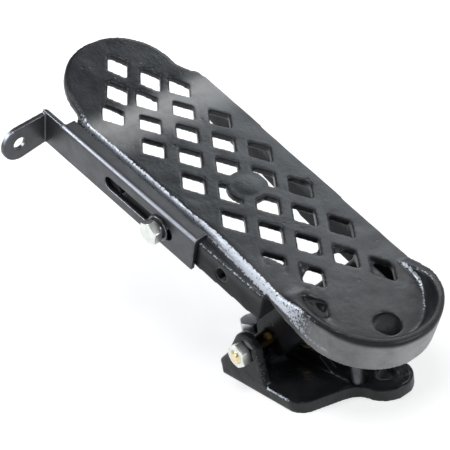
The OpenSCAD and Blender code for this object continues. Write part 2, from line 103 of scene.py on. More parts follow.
def blendColours(tree, factor, first, second):
    node = add(tree, "ShaderNodeMix", data_type="RGBA")
    join(tree, factor, node.inputs["Factor"])
    for socket, value in ((node.inputs[6], first), (node.inputs[7], second)):
        if hasattr(value, "is_linked"):
            join(tree, value, socket)
        else:
            socket.default_value = (*value, 1)
    return node.outputs[2]


def noiseAt(tree, where, scale, detail=2.0, rough=0.5):
    node = add(tree, "ShaderNodeTexNoise")
    join(tree, where, node.inputs["Vector"])
    if isinstance(scale, (int, float)):
        node.inputs["Scale"].default_value = scale
    else:
        join(tree, scale, node.inputs["Scale"])
    node.inputs["Detail"].default_value = detail
    node.inputs["Roughness"].default_value = rough
    return node.outputs["Fac"]


castGrain = {"patchSize": 70.0, "patchLevel": 0.56, "pitEdge": (0.22, 0.06), "peelSize": 380.0,
             "toneSize": 45.0, "toneSpread": (0.3, 0.7)}


def makeCastSkin():
    # soft ripples, sand grain and scattered pits; Height is in metres
    group, start, end = newGroup(
        "castSkin",
        [("Where", "NodeSocketVector", None), ("Ripple Size", "NodeSocketFloat", 130.0),
         ("Ripple Depth", "NodeSocketFloat", 0.00012), ("Orange Peel", "NodeSocketFloat", 0.00005),
         ("Grain Size", "NodeSocketFloat", 900.0), ("Grain Depth", "NodeSocketFloat", 0.00002),
         ("Pit Size", "NodeSocketFloat", 160.0), ("Pit Depth", "NodeSocketFloat", 0.0001)],
        [("Height", "NodeSocketFloat"), ("Tone", "NodeSocketFloat")])
    where = start.outputs["Where"]
    ripple = noiseAt(group, where, start.outputs["Ripple Size"], 2.5, 0.55)
    grain = noiseAt(group, where, start.outputs["Grain Size"], 3.0, 0.6)
    cells = add(group, "ShaderNodeTexVoronoi")
    join(group, where, cells.inputs["Vector"])
    join(group, start.outputs["Pit Size"], cells.inputs["Scale"])
    # pits come in patches
    patches = noiseAt(group, where, castGrain["patchSize"], 1.0)
    chosen = maths(group, "GREATER_THAN", patches, castGrain["patchLevel"])
    pits = maths(group, "MULTIPLY", remap(group, cells.outputs["Distance"], *castGrain["pitEdge"]), chosen)
    height = maths(group, "MULTIPLY", ripple, start.outputs["Ripple Depth"])
    peel = noiseAt(group, where, castGrain["peelSize"], 2.0, 0.5)
    height = maths(group, "MULTIPLY_ADD", peel, start.outputs["Orange Peel"], height)
    height = maths(group, "MULTIPLY_ADD", grain, start.outputs["Grain Depth"], height)
    height = maths(group, "SUBTRACT", height, maths(group, "MULTIPLY", pits, start.outputs["Pit Depth"]))
    join(group, height, end.inputs["Height"])
    tone = noiseAt(group, where, castGrain["toneSize"], 3.0, 0.6)
    join(group, remap(group, tone, *castGrain["toneSpread"]), end.inputs["Tone"])
    return group


wearSpread = {"flakes": (0.42, 0.62), "hollow": (0.48, 0.42)}


def makeEdgeWear():
    # bare metal on outer edges, broken up by noise
    group, start, end = newGroup(
        "edgeWear",
        [("Where", "NodeSocketVector", None), ("Sharpness Low", "NodeSocketFloat", 0.53),
         ("Sharpness High", "NodeSocketFloat", 0.6), ("Break Up", "NodeSocketFloat", 350.0)],
        [("Mask", "NodeSocketFloat"), ("Hollow", "NodeSocketFloat")])
    point = add(group, "ShaderNodeNewGeometry").outputs["Pointiness"]
    sharp = remap(group, point, start.outputs["Sharpness Low"], start.outputs["Sharpness High"])
    flakes = noiseAt(group, start.outputs["Where"], start.outputs["Break Up"], 3.0, 0.7)
    flakes = remap(group, flakes, *wearSpread["flakes"])
    join(group, maths(group, "MULTIPLY", sharp, flakes), end.inputs["Mask"])
    join(group, remap(group, point, *wearSpread["hollow"]), end.inputs["Hollow"])
    return group


speckleLevel = {"highest": 0.72, "sink": 0.42, "edge": 0.12}


def makeSpeckle():
    # fine bright grains, thick where Amount is high
    group, start, end = newGroup(
        "speckle",
        [("Where", "NodeSocketVector", None), ("Amount", "NodeSocketFloat", 0.5),
         ("Size", "NodeSocketFloat", 1100.0)],
        [("Mask", "NodeSocketFloat")])
    fine = noiseAt(group, start.outputs["Where"], start.outputs["Size"], 2.0, 0.6)
    # more grains pass as the level sinks
    sink = maths(group, "MULTIPLY", start.outputs["Amount"], speckleLevel["sink"])
    level = maths(group, "SUBTRACT", speckleLevel["highest"], sink)
    spots = remap(group, fine, level, maths(group, "ADD", level, speckleLevel["edge"]))
    join(group, spots, end.inputs["Mask"])
    return group


castSkin = makeCastSkin()
edgeWear = makeEdgeWear()
speckle = makeSpeckle()
print("node groups ready")


def newMaterial(name, constants):
    material = bpy.data.materials.new(name)
    material.use_nodes = True
    tree = material.node_tree
    shader = tree.nodes["Principled BSDF"]
    for label, value in constants.items():
        shader.inputs[label].default_value = value
    return material, tree, shader, add(tree, "ShaderNodeTexCoord").outputs["Object"]


def place(tree, group, where, values):
    node = add(tree, "ShaderNodeGroup", node_tree=group)
    join(tree, where, node.inputs["Where"])
    for label, value in values.items():
        if isinstance(value, (int, float)):
            node.inputs[label].default_value = value
        else:
            join(tree, value, node.inputs[label])
    return node


def bump(tree, shader, height):
    # height is in metres
    node = add(tree, "ShaderNodeBump")
    node.inputs["Strength"].default_value = 1.0
    node.inputs["Distance"].default_value = 1.0
    join(tree, height, node.inputs["Height"])
    join(tree, node.outputs["Normal"], shader.inputs["Normal"])


def attribute(tree, name):
    return add(tree, "ShaderNodeAttribute", attribute_name=name).outputs["Fac"]


# what both black paints share
blackPaint = {
    "ior": 1.5, "tint": (0.86, 0.93, 1.0, 1.0), "bareRough": 0.45, "paintedSheenRough": 0.85, "cutRough": 0.7,
    "patchSize": 90.0, "patchSpread": (0.3, 0.6), "patchLeast": 0.65, "cutColour": (0.02, 0.019, 0.018),
    "cutGrain": 1500.0, "cutDepth": 0.0003,
}


def makeBlackPaint(name, values):
    # black over cast iron, rubbed through on the edges; masks on the mesh say where, and where highlights, a
    # paler sheen and less gloss in shade are painted in
    material, tree, shader, where = newMaterial(name, {
        "IOR": blackPaint["ior"], "Coat IOR": blackPaint["ior"], "Specular Tint": blackPaint["tint"],
        "Specular IOR Level": values["shine"], "Coat Weight": values["coat"],
        "Coat Roughness": values["coatRough"]})
    skin = place(tree, castSkin, where, values["skin"])
    wear = place(tree, edgeWear, where, values["wear"])
    # bare metal where paint is rubbed off, and painted highlights, where the mesh marks them; both are
    # flecked with grains
    grains = place(tree, speckle, where, {"Amount": attribute(tree, "wearAndHighlight"), "Size": values["speckleSize"]})
    wearAndHighlight = maths(tree, "MULTIPLY", grains.outputs["Mask"], attribute(tree, "wearAndHighlight"), clamp=True)
    bareAndHighlight = maths(tree, "MAXIMUM", maths(tree, "MULTIPLY", wear.outputs["Mask"], values["wearAmount"]), wearAndHighlight)
    cut = attribute(tree, "roughCut")
    patches = noiseAt(tree, where, blackPaint["patchSize"], 4.0, 0.7)
    patches = remap(tree, patches, *blackPaint["patchSpread"], blackPaint["patchLeast"], 1.0)
    # a paler, duller grey of painted sheen where the mesh marks it, broken into patches
    sheenShare = maths(tree, "MULTIPLY", attribute(tree, "paintedSheen"), patches)
    colour = blendColours(tree, skin.outputs["Tone"], values["dark"], values["light"])
    for share, over in ((sheenShare, values["paintedSheenColour"]), (bareAndHighlight, values["bareAndHighlight"]), (cut, blackPaint["cutColour"])):
        colour = blendColours(tree, share, colour, over)
    join(tree, colour, shader.inputs["Base Color"])
    rough = remap(tree, skin.outputs["Tone"], 0, 1, values["roughLow"], values["roughHigh"])
    for share, least in ((bareAndHighlight, "bareRough"), (sheenShare, "paintedSheenRough"), (cut, "cutRough")):
        rough = maths(tree, "MAXIMUM", rough, maths(tree, "MULTIPLY", share, blackPaint[least]))
    join(tree, rough, shader.inputs["Roughness"])
    join(tree, maths(tree, "MULTIPLY", bareAndHighlight, values["bareMetal"]), shader.inputs["Metallic"])
    # painted shade: less gloss where the mesh marks it
    if "paintedShadeShine" in values:
        gloss = remap(tree, attribute(tree, "paintedShade"), 0.0, 1.0, values["shine"], values["paintedShadeShine"])
        join(tree, gloss, shader.inputs["Specular IOR Level"])
    sawn = maths(tree, "MULTIPLY", noiseAt(tree, where, blackPaint["cutGrain"], 3.0, 0.7), cut)
    sawn = maths(tree, "MULTIPLY", sawn, blackPaint["cutDepth"])
    bump(tree, shader, maths(tree, "ADD", skin.outputs["Height"], sawn))
    return material


steelStains = {"ior": 1.5, "spread": (0.35, 0.7), "lessMetal": 0.05}


def makeSteel(name, values):
    # plated or blackened steel: faint drawing lines, stains and worn corners
    material, tree, shader, where = newMaterial(name, {"IOR": steelStains["ior"]})
    turned = add(tree, "ShaderNodeMapping")
    join(tree, where, turned.inputs["Vector"])
    turned.inputs["Rotation"].default_value = values["turn"]
    turned.inputs["Scale"].default_value = values["stretch"]
    lines = noiseAt(tree, turned.outputs["Vector"], values["lineSize"], 3.0, 0.6)
    stains = remap(tree, noiseAt(tree, where, values["stainSize"], 4.0, 0.65), *steelStains["spread"])
    wear = place(tree, edgeWear, where, values["wear"])
    colour = blendColours(tree, stains, values["colour"], values["stain"])
    # a painted highlight where the mesh marks one
    if "paintedHighlight" in values:
        colour = blendColours(tree, attribute(tree, "paintedHighlight"), colour, values["paintedHighlight"])
    colour = blendColours(tree, wear.outputs["Mask"], colour, values["worn"])
    grime = maths(tree, "MULTIPLY", wear.outputs["Hollow"], values["grime"])
    colour = blendColours(tree, grime, colour, values["grimeColour"])
    join(tree, colour, shader.inputs["Base Color"])
    rough = remap(tree, stains, 0, 1, values["roughLow"], values["roughHigh"])
    join(tree, rough, shader.inputs["Roughness"])
    # stains dull it a little
    metal = remap(tree, stains, 0, 1, values["metal"], values["metal"] - steelStains["lessMetal"])
    join(tree, metal, shader.inputs["Metallic"])
    grain = noiseAt(tree, where, values["grainSize"], 3.0, 0.6)
    height = maths(tree, "MULTIPLY", lines, values["lineDepth"])
    bump(tree, shader, maths(tree, "MULTIPLY_ADD", grain, values["grainDepth"], height))
    return material


deckPaint = {
    "dark": (0.013, 0.014, 0.016), "light": (0.026, 0.027, 0.03), "bareAndHighlight": (0.66, 0.7, 0.78),
    "paintedSheenColour": (0.4, 0.405, 0.41), "bareMetal": 0.7, "shine": 0.32, "paintedShadeShine": 0.096,
    "coat": 0.1, "coatRough": 0.2, "roughLow": 0.3, "roughHigh": 0.4,
    "wearAmount": 0.45, "speckleSize": 750.0,
    "skin": {"Ripple Size": 110.0, "Ripple Depth": 0.0003, "Orange Peel": 0.00013, "Grain Size": 1000.0,
             "Grain Depth": 0.00005, "Pit Size": 150.0, "Pit Depth": 0.0002},
    "wear": {"Sharpness Low": 0.56, "Sharpness High": 0.66, "Break Up": 300.0},
}
# the worn edges are set strong here so that they also stand for painted edge highlights
basePaint = {
    "dark": (0.009, 0.01, 0.012), "light": (0.018, 0.0185, 0.02), "bareAndHighlight": (0.46, 0.5, 0.56),
    "paintedSheenColour": (0.1, 0.1, 0.1), "bareMetal": 0.85, "shine": 0.14, "coat": 0.06, "coatRough": 0.04,
    "roughLow": 0.16, "roughHigh": 0.28, "wearAmount": 0.75, "speckleSize": 900.0,
    "skin": {"Ripple Size": 120.0, "Ripple Depth": 0.0004, "Orange Peel": 0.0001, "Grain Size": 850.0,
             "Grain Depth": 0.00003, "Pit Size": 150.0, "Pit Depth": 0.0002},
    "wear": {"Sharpness Low": 0.56, "Sharpness High": 0.66, "Break Up": 300.0},
}
# the strip's fold gets a paler colour as a painted highlight
stripSteel = {
    "colour": (0.11, 0.114, 0.127), "stain": (0.08, 0.079, 0.08), "worn": (0.5, 0.53, 0.6),
    "paintedHighlight": (0.42, 0.44, 0.5), "grime": 0.5, "grimeColour": (0.02, 0.02, 0.022), "metal": 0.9,
    "roughLow": 0.34, "roughHigh": 0.46,
    "turn": (0, radians(-deckLean), radians(-barTurn)), "stretch": (0.06, 1, 1),
    "lineSize": 1200.0, "lineDepth": 0.000006, "grainSize": 1400.0, "grainDepth": 0.00002, "stainSize": 60.0,
    "wear": {"Sharpness Low": 0.53, "Sharpness High": 0.6, "Break Up": 260.0},
}
zincPlate = {
    "colour": (0.86, 0.88, 0.85), "stain": (0.72, 0.75, 0.7), "worn": (0.9, 0.92, 0.9),
    "grime": 0.5, "grimeColour": (0.2, 0.2, 0.2), "metal": 1.0,
    "roughLow": 0.28, "roughHigh": 0.38, "turn": (0, 0, 0), "stretch": (1, 1, 1),
    "lineSize": 900.0, "lineDepth": 0.0000012, "grainSize": 1800.0, "grainDepth": 0.000002,
    "stainSize": 220.0,
    "wear": {"Sharpness Low": 0.55, "Sharpness High": 0.62, "Break Up": 500.0},
}
yellowPlate = dict(zincPlate, colour=(0.93, 0.83, 0.55), stain=(0.75, 0.58, 0.32), worn=(0.95, 0.9, 0.75),
                   grimeColour=(0.12, 0.09, 0.05))
# the spacers are painted near black for the shade they sit in, with a painted glint of yellow on top
shadedYellow = dict(zincPlate, colour=(0.03, 0.022, 0.012), stain=(0.015, 0.012, 0.009), worn=(0.3, 0.2, 0.08),
                  paintedHighlight=(0.7, 0.45, 0.16), grimeColour=(0.01, 0.01, 0.01), roughLow=0.4, roughHigh=0.55)
brightSteel = dict(zincPlate, colour=(0.6, 0.62, 0.66), stain=(0.4, 0.42, 0.45), worn=(0.8, 0.82, 0.85))
washerSteel = dict(zincPlate, colour=(0.16, 0.165, 0.18), stain=(0.09, 0.09, 0.1), worn=(0.4, 0.42, 0.45),
                   grimeColour=(0.03, 0.03, 0.03))
pinSteel = dict(zincPlate, colour=(0.1, 0.105, 0.115), stain=(0.07, 0.07, 0.075), worn=(0.4, 0.41, 0.43),
                roughLow=0.34, roughHigh=0.46, lineDepth=0.00001, stretch=(1, 1, 0.05))

deckMaterial = makeBlackPaint("deckPaint", deckPaint)
baseMaterial = makeBlackPaint("basePaint", basePaint)
stripMaterial = makeSteel("stripSteel", stripSteel)
zincMaterial = makeSteel("zincPlate", zincPlate)
yellowMaterial = makeSteel("yellowPlate", yellowPlate)
shadedYellowMaterial = makeSteel("shadedYellow", shadedYellow)
brightMaterial = makeSteel("brightSteel", brightSteel)
pinMaterial = makeSteel("pinSteel", pinSteel)
washerMaterial = makeSteel("washerSteel", washerSteel)
print("materials ready")


allSmooth = 180    # degrees: no edge of a casting is shaded sharp


def finishPiece(name, mesh, material, body, nodes, smoothAngle=30):
    piece = bpy.data.objects.new(name, mesh)
    bpy.context.scene.collection.objects.link(piece)
    mesh.materials.append(material)
    for face in mesh.polygons:
        face.use_smooth = True
    sharpen(mesh, smoothAngle)
    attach(piece, body)
    if nodes:
        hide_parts(*nodes)
    print(name, len(mesh.polygons), "faces")


def sharpen(mesh, angle):
    bm = bmesh.new()
    bm.from_mesh(mesh)
    for edge in bm.edges:
        edge.smooth = not (edge.is_manifold and edge.calc_face_angle(0) > radians(angle))
    bm.to_mesh(mesh)
    bm.free()


def remeshed(name, bm, voxel, rounds):
    # one skin of even quads over a merged copy, its edges worn round; voxel is in mm
    mesh = bpy.data.meshes.new(name + "Rough")
    bm.to_mesh(mesh)
    bm.free()
    holder = bpy.data.objects.new(name + "Rough", mesh)
    bpy.context.scene.collection.objects.link(holder)
    remesh = holder.modifiers.new("skin", "REMESH")
    remesh.mode = "VOXEL"
    remesh.voxel_size = voxel * mm
    smooth = holder.modifiers.new("rounding", "SMOOTH")
    smooth.factor = 0.5
    smooth.iterations = rounds
    done = bpy.data.meshes.new_from_object(holder.evaluated_get(bpy.context.evaluated_depsgraph_get()))
    bpy.data.objects.remove(holder)
    bpy.data.meshes.remove(mesh)
    return done


def cadCopy(node, placeMatrix):
    bm = bmesh.new()
    bm.from_mesh(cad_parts[node].data)
    bmesh.ops.remove_doubles(bm, verts=bm.verts, dist=1e-6)
    bmesh.ops.transform(bm, matrix=placeMatrix.inverted(), verts=bm.verts)
    return bm


def paintMask(mesh, name, rule):
    # a number on each vertex, from its place and the way it faces
    layer = mesh.attributes.new(name, "FLOAT", "POINT")
    layer.data.foreach_set("value", [rule(v.co, v.normal) for v in mesh.vertices])


def movePoints(mesh, points):
    mesh.vertices.foreach_set("co", [number for point in points for number in point])
    mesh.update()


def addLumps(mesh, values, keep):
    # a casting is never quite flat
    size, depth = values["lumpSize"] * mm, values["lump"] * mm
    movePoints(mesh, [v.co + v.normal * (noise.noise(v.co / size) * depth * keep(v.co))
                      for v in mesh.vertices])


def ramp(value, low, high):
    # a soft step from 0 at low to 1 at high; low may be the larger one
    share = min(1.0, max(0.0, (value - low) / (high - low)))
    return share * share * (3 - 2 * share)


def within(ranges, **measured):
    # the product of the named ranges' soft steps
    share = 1.0
    for name, value in measured.items():
        share *= ramp(value, *ranges[name])
        if share == 0:
            break
    return share


def lathe(profile, segments=64):
    # a closed outline of (radius, height) points in mm, spun about Z
    bm = bmesh.new()
    points = [bm.verts.new((r * mm, 0, h * mm)) for r, h in profile]
    edges = [bm.edges.new((points[i], points[(i + 1) % len(points)])) for i in range(len(points))
             if not (points[i].co.x == 0 and points[(i + 1) % len(points)].co.x == 0)]
    bmesh.ops.spin(bm, geom=points + edges, cent=(0, 0, 0), axis=(0, 0, 1), angle=2 * pi, steps=segments,
                   use_merge=True)
    bmesh.ops.remove_doubles(bm, verts=bm.verts, dist=1e-6)
    bmesh.ops.recalc_face_normals(bm, faces=bm.faces)
    return bm


hexSizes = {"flats": 13.0, "head": 5.3, "shank": 3.98, "pitch": 1.25, "ridge": 0.5, "tip": 0.9,
            "under": 0.05, "runOut": 0.4, "inHead": 1,
            "nutBore": 4.02, "nutSink": 0.5, "chamfer": 1.0, "headSoft": 0.15, "nutSoft": 0.12,
            "points": 72, "faceShare": 0.96, "coneAngle": 30}


def hexPrism(low, high, chamferLow, chamferHigh, bore=0.0, countersink=0.0):
    # rings of points: hexagons outside, circles inside, with the cone chamfer of a turned bar
    half = hexSizes["flats"] / 2
    circleR = half * hexSizes["faceShare"]
    drop = tan(radians(hexSizes["coneAngle"]))
    rings = [(circleR, low), ("hex", low, chamferLow), ("hex", high, -chamferHigh), (circleR, high)]
    if bore:
        rings = ([(bore, low + countersink), (bore + countersink, low)] + rings
                 + [(bore + countersink, high), (bore, high - countersink)])
    bm = bmesh.new()
    current = bmesh.ops.create_circle(bm, cap_ends=False, segments=hexSizes["points"], radius=1)["verts"]
    firstEdges = list({e for v in current for e in v.link_edges})
    currentEdges = firstEdges
    for index, ring in enumerate(rings):
        if index:
            made = bmesh.ops.extrude_edge_only(bm, edges=currentEdges)["geom"]
            current = [g for g in made if isinstance(g, bmesh.types.BMVert)]
            currentEdges = [g for g in made if isinstance(g, bmesh.types.BMEdge)]
        for vert in current:
            angle = Vector((vert.co.x, vert.co.y)).angle_signed(Vector((1, 0)))
            if ring[0] == "hex":
                r = half / cos((angle + pi / 6) % (pi / 3) - pi / 6)
                h = ring[1] + (r - circleR) * drop * ring[2]
            else:
                r, h = ring
            vert.co = Vector((r * cos(angle), r * sin(angle), h)) * mm
    if bore:
        bmesh.ops.bridge_loops(bm, edges=firstEdges + currentEdges)
    else:
        bmesh.ops.contextual_create(bm, geom=firstEdges)
        bmesh.ops.contextual_create(bm, geom=currentEdges)
    bmesh.ops.recalc_face_normals(bm, faces=bm.faces)
    return bm


def threadProfile(outer, depth, pitch, low, high):
    # ridges from low to high, in steps of half a pitch
    steps = max(2, int(round((high - low) / pitch * 2)))
    return [(outer if i % 2 else outer - depth, low + (high - low) * i / steps) for i in range(steps + 1)]


def toMesh(name, bms, matrix):
    mesh = bpy.data.meshes.new(name)
    whole = bmesh.new()
    for bm in bms:
        part = bpy.data.meshes.new("part")
        bm.to_mesh(part)
        bm.free()
        whole.from_mesh(part)
        bpy.data.meshes.remove(part)
    bmesh.ops.transform(whole, matrix=matrix, verts=whole.verts)
    whole.to_mesh(mesh)
    whole.free()
    return mesh


deckShape = {
    # mm, in the deck's own frame; a Middle is a place in x and y, most other pairs are a soft step's range
    "voxel": 0.95, "rounds": 4, "lump": 0.2, "lumpSize": 11.0,
    "toeRound": 3.2, "barRound": 2.2, "edgeRound": 4.2, "rimRound": 2.4,
    "barRoundFrom": (-162, -146), "edgeRoundFrom": (-80, -10), "rimRoundFrom": (5, 40),
    "toeMiddle": (-154.0, -7.0), "heelMiddle": (37.5, -3.0), "slice": 2.0, "wallDepth": 5.0,
    "cupStart": 10.0, "cupEnd": 58.0, "cupFar": 10.0, "cupR": 37.0, "deckR": 34.0,
    "tooNear": 0.4,
    # parts of a normal: a top is at least so flat, a wall at most, and a wall faces outwards
    "topFlat": 0.6, "wallSteep": 0.35, "nearFacing": 0.5, "endFacing": 0.6,
    # the rim's near end and the pad of the disc
    "rimFrom": (4, 14), "rimTo": (54, 44), "rimNear": (22, 28), "rimUp": (54, 56), "rimSoftening": 40,
    "padAbove": 58.3, "padAlong": (-120, -20), "padOut": 30,
    "padReach": (9.5, 7.5), "padUp": (56.5, 57.5), "padSoftening": 14,
}


def roundOuterEdge(mesh, values):
    # the near edge, the toe and the heel rim are rolled over: points near the corner slide onto an arc
    verts = mesh.vertices
    toe, heel = Vector(values["toeMiddle"]) * mm, Vector(values["heelMiddle"]) * mm
    cupStart, cupEnd, cupFar = values["cupStart"] * mm, values["cupEnd"] * mm, values["cupFar"] * mm
    cupR, deckR = values["cupR"] * mm, values["deckR"] * mm

    def sliceOf(co):
        return floor(co.x / (values["slice"] * mm))

    # the height of the top in each slice
    tops = {}
    for v in verts:
        outside = v.co.x < cupStart or (v.co.xy - heel).length > cupR
        onEdge = v.co.x < cupStart or v.co.y < cupFar or v.co.x > cupEnd
        if v.normal.z > values["topFlat"] and outside and onEdge:
            tops[sliceOf(v.co)] = max(tops.get(sliceOf(v.co), -1), v.co.z)
    # the outer wall just below it
    walls = []
    for v in verts:
        top = tops.get(sliceOf(v.co))
        if top is None or abs(v.normal.z) > values["wallSteep"] or v.co.z < top - values["wallDepth"] * mm:
            continue
        facing, outToe, outHeel = v.normal.xy, v.co.xy - toe, v.co.xy - heel
        near = v.co.y < -deckR and facing.y < -values["nearFacing"]
        atToe = (v.co.x < toe.x and outToe.length > deckR
                 and facing.dot(outToe.normalized()) > values["endFacing"])
        atHeel = (v.co.x > cupEnd and outHeel.length > cupR
                  and facing.dot(outHeel.normalized()) > values["endFacing"])
        if near or atToe or atHeel:
            walls.append((v.co.x, v.co.y, 0))
    tree = kdtree.KDTree(len(walls))
    for index, point in enumerate(walls):
        tree.insert(point, index)
    tree.balance()

    def rounded(co, normal):
        top = tops.get(sliceOf(co))
        if top is None:
            return co
        x = co.x / mm
        r = values["toeRound"] + (values["barRound"] - values["toeRound"]) * ramp(x, *values["barRoundFrom"])
        r += (values["edgeRound"] - values["barRound"]) * ramp(x, *values["edgeRoundFrom"])
        r = (r + (values["rimRound"] - r) * ramp(x, *values["rimRoundFrom"])) * mm
        down = top - co.z
        if not -mm < down < r:
            return co
        found, _, inside = tree.find((co.x, co.y, 0))
        fromMiddle = hypot(inside - r, down - r)
        if inside >= r or fromMiddle <= r:
            return co
        away = co.xy - found.xy
        if inside < values["tooNear"] * mm or away.length < 1e-6:    # the way in can't be told so near
            away = -normal.xy
        if away.length > 1e-6:
            away = away.normalized()
        newIn = r + (inside - r) * r / fromMiddle
        newDown = r + (down - r) * r / fromMiddle
        co.xy += away * (newIn - inside)
        co.z -= newDown - down
        return co

    movePoints(mesh, [rounded(v.co.copy(), v.normal) for v in verts])


def softenWhere(mesh, amount, rounds):
    # melts the shape only where amount(place) is above 0
    bm = bmesh.new()
    bm.from_mesh(mesh)
    chosen = [v for v in bm.verts if amount(v.co) > 0]
    before = [(v.co.copy(), amount(v.co)) for v in chosen]
    for _ in range(rounds):
        bmesh.ops.smooth_vert(bm, verts=chosen, factor=0.5, use_axis_x=True, use_axis_y=True, use_axis_z=True)
    for v, (old, share) in zip(chosen, before):
        v.co = old.lerp(v.co, share)
    bm.to_mesh(mesh)
    bm.free()
    mesh.update()


deckWear = {
    # mm and parts of a normal; a pair is a soft step's range
    # a painted highlight along the near edge of the deck, from the toe to where the heel cup begins
    "edgeFacing": (0.2, 0.45), "edgeOut": (34, 37), "edgeUp": (51.5, 53.5),
    "edgeToe": (-175, -150), "edgeToeAmount": 0.9, "edgeBar": (-150, -20), "edgeBarAmount": 0.1,
    "edgeFade": (15, 50), "edgeFadeAmount": 0.85,
    # a painted highlight along the foot of the cup's far wall, thinner towards the heel
    "cupMiddle": 37.5, "footR": 33.8, "footDraw": 1.7, "footDrawing": (42, 62),
    "footHalf": 1.6, "footCore": 0.5, "footThin": 0.5, "footThinning": (34, 62), "footAmount": 0.9,
    "footLow": (57, 57.8), "footHigh": (61.5, 60), "footFar": (10, 24), "footStart": (29, 33),
    # a painted highlight on the inner edge of the rim above it
    "lipR": 35.4, "lipFrom": 42.8, "lipSpread": 0.17, "lipBand": (1.1, 0.5), "lipAmount": 0.6,
    "lipFar": (10, 20), "lipUp": (60.5, 62), "lipStart": (33, 38), "lipEnd": (60, 52),
    # a painted highlight on the bar's upper corner by the heel, and the bar's sawn end
    "cornerDown": 6, "cornerBand": (1.6, 0.6), "cornerStart": (112, 122), "cornerAmount": 0.7,
    "cutStart": (167.5, 168.5), "cutEnd": (171.5, 170.5), "cutIn": (14, 11), "cutDown": (3, 6),
    # painted sheen: the bend of the toe, the heel's skirt and a little of the tread are made a paler, duller
    # grey for the light they catch
    "bendFlat": (0.7, 0.95), "bendUp": (55, 57), "bendToe": (-162, -145), "bendHeel": (-112, -146),
    "bendAmount": 0.7,
    "skirtOut": (38, 39.5), "skirtFacing": (-0.6, 0.3), "skirtStart": (24, 48), "skirtLow": (37, 39),
    "skirtTop": (67, 64), "skirtSteep": (0.5, 0.2),
    "treadFlat": (0.9, 1.0), "treadStart": (-60, 30), "treadAmount": 0.12,
    # painted shade as less gloss: the arms under the deck and the cup's rim
    "armsDown": (50, 44), "armsFacing": (0.7, 0.4), "rimUp": (63, 65), "rimStart": (0, 20),
}


def makeDeck():
    bm = cadCopy("foot_plate", pedalPlace)
    mesh = remeshed("deckCasting", bm, deckShape["voxel"], deckShape["rounds"])
    roundOuterEdge(mesh, deckShape)

    def rimEnd(co):
        # the near end of the heel rim grows out of the deck without a step
        x, y, z = co / mm
        return within(deckShape, rimFrom=x, rimTo=x, rimNear=-y, rimUp=z)

    def onPad(co):
        x, y, z = co / mm
        low, high = deckShape["padAlong"]
        return z > deckShape["padAbove"] and low < x < high and abs(y) < deckShape["padOut"]

    softenWhere(mesh, rimEnd, deckShape["rimSoftening"])
    pad = [v.co for v in mesh.vertices if onPad(v.co)]
    middle = sum(pad, Vector()) / len(pad)

    def padEdge(co):
        # the pad in the middle of the disc is low and blends into it
        return within(deckShape, padReach=(co.xy - middle.xy).length / mm, padUp=co.z / mm)

    softenWhere(mesh, padEdge, deckShape["padSoftening"])
    addLumps(mesh, deckShape, lambda co: 1.0)

    wear = deckWear
    toBar = barPlace.inverted() @ pedalPlace

    # painted highlights on edges and in the crease, partly rubbed paint
    def wearAndHighlight(co, normal):
        x, y, z = co / mm
        along = wear["edgeToeAmount"] * ramp(x, *wear["edgeToe"])
        along += wear["edgeBarAmount"] * ramp(x, *wear["edgeBar"])
        along *= 1 - wear["edgeFadeAmount"] * ramp(x, *wear["edgeFade"])
        strip = along * within(wear, edgeFacing=-normal.y, edgeOut=-y, edgeUp=z)
        out = hypot(x - wear["cupMiddle"], y) if x > wear["cupMiddle"] else y
        thin = 1 - wear["footThin"] * ramp(x, *wear["footThinning"])
        crease = wear["footR"] - wear["footDraw"] * ramp(x, *wear["footDrawing"])
        foot = wear["footAmount"] * ramp(abs(out - crease), wear["footHalf"] * thin, wear["footCore"] * thin)
        foot *= within(wear, footLow=z, footHigh=z, footFar=y, footStart=x)
        lipR = wear["lipR"] + wear["lipSpread"] * (x - wear["lipFrom"])
        lip = within(wear, lipBand=abs(out - lipR), lipFar=y, lipUp=z, lipStart=x, lipEnd=x)
        bx, by, bz = toBar @ co / mm
        corner = ramp(abs(by), *wear["cornerBand"]) * ramp(abs(bz + wear["cornerDown"]), *wear["cornerBand"])
        corner *= wear["cornerAmount"] * ramp(bx, *wear["cornerStart"])
        return max(strip, foot, wear["lipAmount"] * lip, corner)

    # painted sheen: paler, duller grey where light is caught
    def paintedSheen(co, normal):
        x, y, z = co / mm
        out = hypot(x - wear["cupMiddle"], y) if x > wear["cupMiddle"] else abs(y)
        bend = wear["bendAmount"] * within(wear, bendFlat=normal.z, bendUp=z, bendToe=x, bendHeel=x)
        skirt = within(wear, skirtOut=out, skirtFacing=normal.x, skirtStart=x, skirtLow=z, skirtTop=z,
                       skirtSteep=normal.z)
        return max(bend, skirt, wear["treadAmount"] * within(wear, treadFlat=normal.z, treadStart=x))

    def roughCut(co, normal):
        bx, by, bz = toBar @ co / mm
        return within(wear, cutStart=bx, cutEnd=bx, cutIn=by, cutDown=-bz)

    # painted shade: less gloss under the deck and on the rim
    def paintedShade(co, normal):
        x, y, z = co / mm
        return max(within(wear, armsDown=z, armsFacing=normal.x), within(wear, rimUp=z, rimStart=x))

    paintMask(mesh, "wearAndHighlight", wearAndHighlight)
    paintMask(mesh, "roughCut", roughCut)
    paintMask(mesh, "paintedSheen", paintedSheen)
    paintMask(mesh, "paintedShade", paintedShade)
    mesh.transform(pedalPlace)
    finishPiece("deckCasting", mesh, deckMaterial, "pedal", ["foot_plate"], allSmooth)


